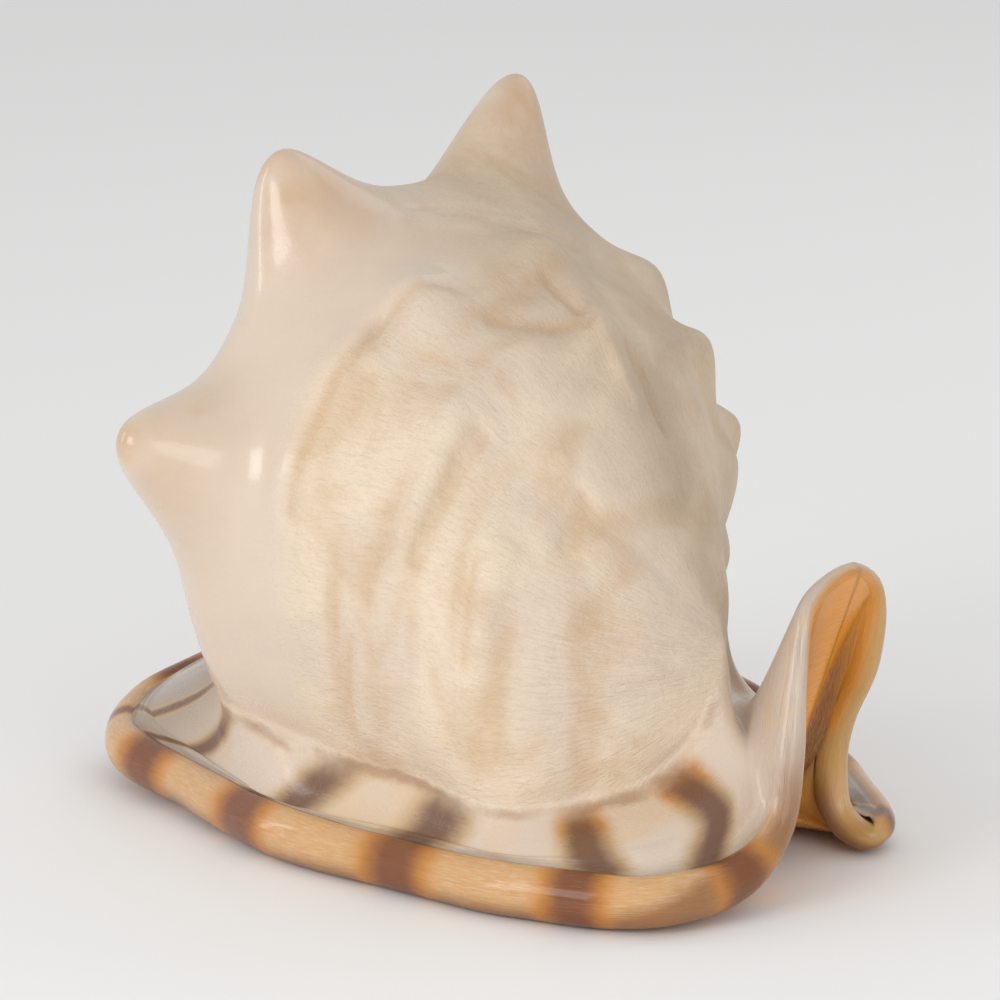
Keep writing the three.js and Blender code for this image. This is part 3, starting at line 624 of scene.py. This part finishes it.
# The far side's olive tan, the groove's grey and the grey of the bench's left end below are painted shade.
CREAM, ROSE_WHITE, TAN = colour(230, 211, 186), colour(215, 196, 178), colour(202, 162, 116)
FAR_SHADE_OLIVE, HORN_TAN = colour(174, 152, 122), colour(196, 152, 106)
BENCH, BENCH_WARM, PEACH = colour(216, 197, 178), colour(222, 190, 148), colour(214, 162, 104)
BENCH_TAN, GOLDEN, FOOT_BROWN = colour(192, 158, 116), colour(206, 158, 88), colour(112, 84, 58)
AMBER, BROWN, PURPLE_BROWN = colour(202, 130, 34), colour(116, 54, 6), colour(104, 64, 40)
ORANGE, DEEP_BROWN, EDGE_BROWN = colour(224, 148, 46), colour(116, 58, 14), colour(140, 84, 28)
INSIDE, GROOVE_SHADE_GREY, BENCH_SHADE_GREY = colour(214, 178, 134), colour(150, 130, 110), colour(166, 146, 128)
CHALKY, GLAZED = 0.48, 0.25
CHALKY_COAT, GLAZED_COAT, COAT_ROUGHNESS = 0.05, 0.5, 0.12
SHELL_IOR = 1.5
TEXTURE_STRENGTH, TEXTURE_DEPTH = 0.8, 0.0011

paint = bpy.data.materials.new("shell")
paint.use_nodes = True
nodes = paint.node_tree.nodes
wires = paint.node_tree.links
shader = nodes["Principled BSDF"]


def plug(value, socket):
    """Feeds a socket from a pattern, or sets it to a number or a colour."""
    if isinstance(value, bpy.types.NodeSocket):
        wires.new(value, socket)
    else:
        socket.default_value = value


def stored(name, output="Fac"):
    """What keep or keep_map stored under this name."""
    node = nodes.new("ShaderNodeAttribute")
    node.attribute_name = name
    return node.outputs[output]


def sums(kind, a, b):
    """One step of arithmetic on patterns or numbers."""
    node = nodes.new("ShaderNodeMath")
    node.operation = kind
    plug(a, node.inputs[0])
    plug(b, node.inputs[1])
    return node.outputs[0]


def fade(value, start, end, low=0.0, high=1.0):
    """Low before start, high past end, smooth between."""
    node = nodes.new("ShaderNodeMapRange")
    node.interpolation_type = "SMOOTHSTEP"
    for socket, number in zip(node.inputs, (value, start, end, low, high)):
        plug(number, socket)
    return node.outputs[0]


def blotches(at, scale, detail=3.0, roughness=0.55, distortion=0.0):
    """Cloudy noise from 0 to 1."""
    node = nodes.new("ShaderNodeTexNoise")
    plug(at, node.inputs["Vector"])
    node.inputs["Scale"].default_value = scale
    node.inputs["Detail"].default_value = detail
    node.inputs["Roughness"].default_value = roughness
    node.inputs["Distortion"].default_value = distortion
    return node.outputs["Fac"]


def stretched(at, sizes):
    """Coordinates drawn out or squeezed, for streaks."""
    node = nodes.new("ShaderNodeMapping")
    plug(at, node.inputs["Vector"])
    node.inputs["Scale"].default_value = sizes
    return node.outputs["Vector"]


def lay_over(under, over, mask):
    """One colour laid over another where the mask shows it, for real colour and for painted shade."""
    node = nodes.new("ShaderNodeMix")
    node.data_type = "RGBA"
    plug(mask, node.inputs["Factor"])
    plug(under, node.inputs["A"])
    plug(over, node.inputs["B"])
    return node.outputs["Result"]


def times(a, b):
    return sums("MULTIPLY", a, b)


def swing(pattern, size):
    """A pattern as a shift either way from nothing."""
    return times(sums("SUBTRACT", pattern, 0.5), size)


spot = nodes.new("ShaderNodeTexCoord").outputs["Object"]
across = stored("across")
wide = blotches(spot, 22, 4, 0.55, 0.6)
patches = blotches(spot, 30, 3, 0.5, 0.8)
small = blotches(spot, 110, 4, 0.6)
leathery = blotches(spot, 300, 3, 0.6, 1.2)
fine = blotches(spot, 1100, 2, 0.6)
streaks = blotches(stretched(stored("rim_map", "Vector"), (0.5, 6.5, 1)), 4, 4, 0.6)
hairs = blotches(stretched(stored("rim_map", "Vector"), (0.3, 26, 1)), 2, 2, 0.5)
growth_lines = blotches(stretched(stored("whorl_map", "Vector"), (1.1, 3.4, 1)), 2.2, 4, 0.62, 1.6)
edge = sums("ADD", across, swing(small, 0.12))
glaze = stored("glaze")
dull = sums("SUBTRACT", 1, glaze)

body = lay_over(CREAM, ROSE_WHITE, fade(wide, 0.42, 0.62, 0, 0.6))
body = lay_over(body, TAN, times(fade(patches, 0.46, 0.7, 0, 0.42), fade(glaze, 0, 1, 1, 0.3)))
# Painted shade: tan in the low places between the ridges.
body = lay_over(body, TAN, times(fade(stored("hollow_shade"), 0.5, 0.95, 0, 0.5), fade(small, 0.3, 0.6, 0.5, 1)))
body = lay_over(body, ROSE_WHITE, fade(glaze, 0, 1, 0, 0.7))
# Painted shade: tan along the fold grooves.
body = lay_over(body, TAN, times(fade(stored("crease_shade"), 0.1, 1.2, 0, 0.4), fade(small, 0.3, 0.6, 0.4, 1)))
# Painted shade: darker olive tan over the far side of the whorl, away from the light.
body = lay_over(body, FAR_SHADE_OLIVE, times(stored("far_side_shade"), fade(wide, 0.3, 0.7, 0.4, 0.72)))
body = lay_over(body, TAN, times(dull, fade(growth_lines, 0.5, 0.75, 0, 0.25)))
body = lay_over(body, HORN_TAN, times(stored("warm_sides"), fade(wide, 0.35, 0.6, 0.25, 0.75)))
body = lay_over(body, HORN_TAN, times(fade(stored("tips"), 0.3, 1, 0, 0.6), fade(small, 0.25, 0.6, 0.5, 1)))

bench = lay_over(BENCH, BENCH_WARM, fade(patches, 0.45, 0.7, 0, 0.7))
# Painted shade: grey over the left end of the bench.
bench = lay_over(bench, BENCH_SHADE_GREY, stored("left_end_shade"))
bench = lay_over(bench, FOOT_BROWN, times(stored("foot"), fade(small, 0.3, 0.7, 0.7, 1)))
rim = lay_over(PEACH, BENCH_WARM, fade(streaks, 0.4, 0.7, 0, 0.7))
rim = lay_over(rim, GOLDEN, stored("foot"))
low_edge = sums("ADD", edge, times(stored("front_edge"), 0.5))
skin = lay_over(body, bench, fade(edge, 1.0, 1.25))
step_line_stain = times(fade(edge, 1.05, 1.11), fade(edge, 1.2, 1.13))
skin = lay_over(skin, EDGE_BROWN, times(step_line_stain, fade(patches, 0.4, 0.6, 0, 0.5)))
# Painted shade: grey on the bench where it falls into the groove before the rim.
skin = lay_over(skin, GROOVE_SHADE_GREY, times(fade(edge, 1.8, 1.96), fade(edge, 2.08, 1.98, 0, 0.4)))
skin = lay_over(skin, rim, fade(edge, 1.95, 2.06))
skin = lay_over(skin, EDGE_BROWN, fade(low_edge, 2.5, 2.8, 0, 0.8))
skin = lay_over(skin, ORANGE, fade(edge, 2.95, 3.3))
skin = lay_over(skin, DEEP_BROWN, fade(edge, 3.5, 3.95, 0, 0.8))
skin = lay_over(skin, INSIDE, fade(edge, 4.4, 5.2))

bar = sums("ADD", stored("bars"), sums("ADD", swing(streaks, 0.2), swing(small, 0.3)))
lip_only = times(fade(edge, 1.04, 1.3), fade(edge, 2.75, 3.3, 1, 0.35))
rim_part = fade(across, 1.95, 1.99)
halo = lay_over(lay_over(BENCH_TAN, AMBER, stored("amber_top")), AMBER, rim_part)
core = lay_over(PURPLE_BROWN, BROWN, rim_part)
skin = lay_over(skin, halo, times(lip_only, fade(bar, -0.2, 0.4, 0, 0.95)))
skin = lay_over(skin, core, times(lip_only, fade(bar, 0.12, 0.8, 0, 0.92)))

canal_wall = lay_over(ROSE_WHITE, BENCH_WARM, fade(patches, 0.45, 0.6, 0, 0.6))
canal_wall = lay_over(canal_wall, GOLDEN, stored("golden"))
canal_wall = lay_over(canal_wall, EDGE_BROWN, times(stored("front_edge"), fade(edge, 2.0, 2.4, 0, 0.85)))
trough = lay_over(ORANGE, GOLDEN, fade(wide, 0.45, 0.65))
# Painted shade: streaky darker brown deeper in the trough.
trough = lay_over(trough, DEEP_BROWN, times(stored("canal_depth_shade"), fade(streaks, 0.3, 0.7, 0.6, 0.95)))
canal_wall = lay_over(canal_wall, trough, fade(edge, 2.5, 2.85))
canal_mask = times(times(stored("canal"), fade(edge, 1.5, 1.9)), fade(edge, 4.2, 4.8, 1, 0))
skin = lay_over(skin, canal_wall, canal_mask)
wires.new(skin, shader.inputs["Base Color"])

on_lip = fade(edge, 1.0, 1.5)
shine = sums("MAXIMUM", on_lip, glaze)
roughness = sums("ADD", fade(shine, 0, 1, CHALKY, GLAZED), swing(fine, 0.12))
wires.new(roughness, shader.inputs["Roughness"])
wires.new(fade(shine, 0, 1, CHALKY_COAT, GLAZED_COAT), shader.inputs["Coat Weight"])
shader.inputs["Coat Roughness"].default_value = COAT_ROUGHNESS
shader.inputs["IOR"].default_value = SHELL_IOR

wrinkles = sums("ADD", times(leathery, 0.5), times(growth_lines, 0.42))
texture = times(wrinkles, fade(shine, 0, 1, 1, 0.2))
combed = times(hairs, fade(edge, 1.2, 2.05, 0, 0.4))
height = sums("ADD", sums("ADD", texture, combed), times(fine, 0.05))
bump = nodes.new("ShaderNodeBump")
bump.inputs["Strength"].default_value = TEXTURE_STRENGTH
bump.inputs["Distance"].default_value = TEXTURE_DEPTH
wires.new(height, bump.inputs["Height"])
wires.new(bump.outputs["Normal"], shader.inputs["Normal"])
shell_mesh.materials.append(paint)

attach(shell, "root")
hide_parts("helmet_shell")
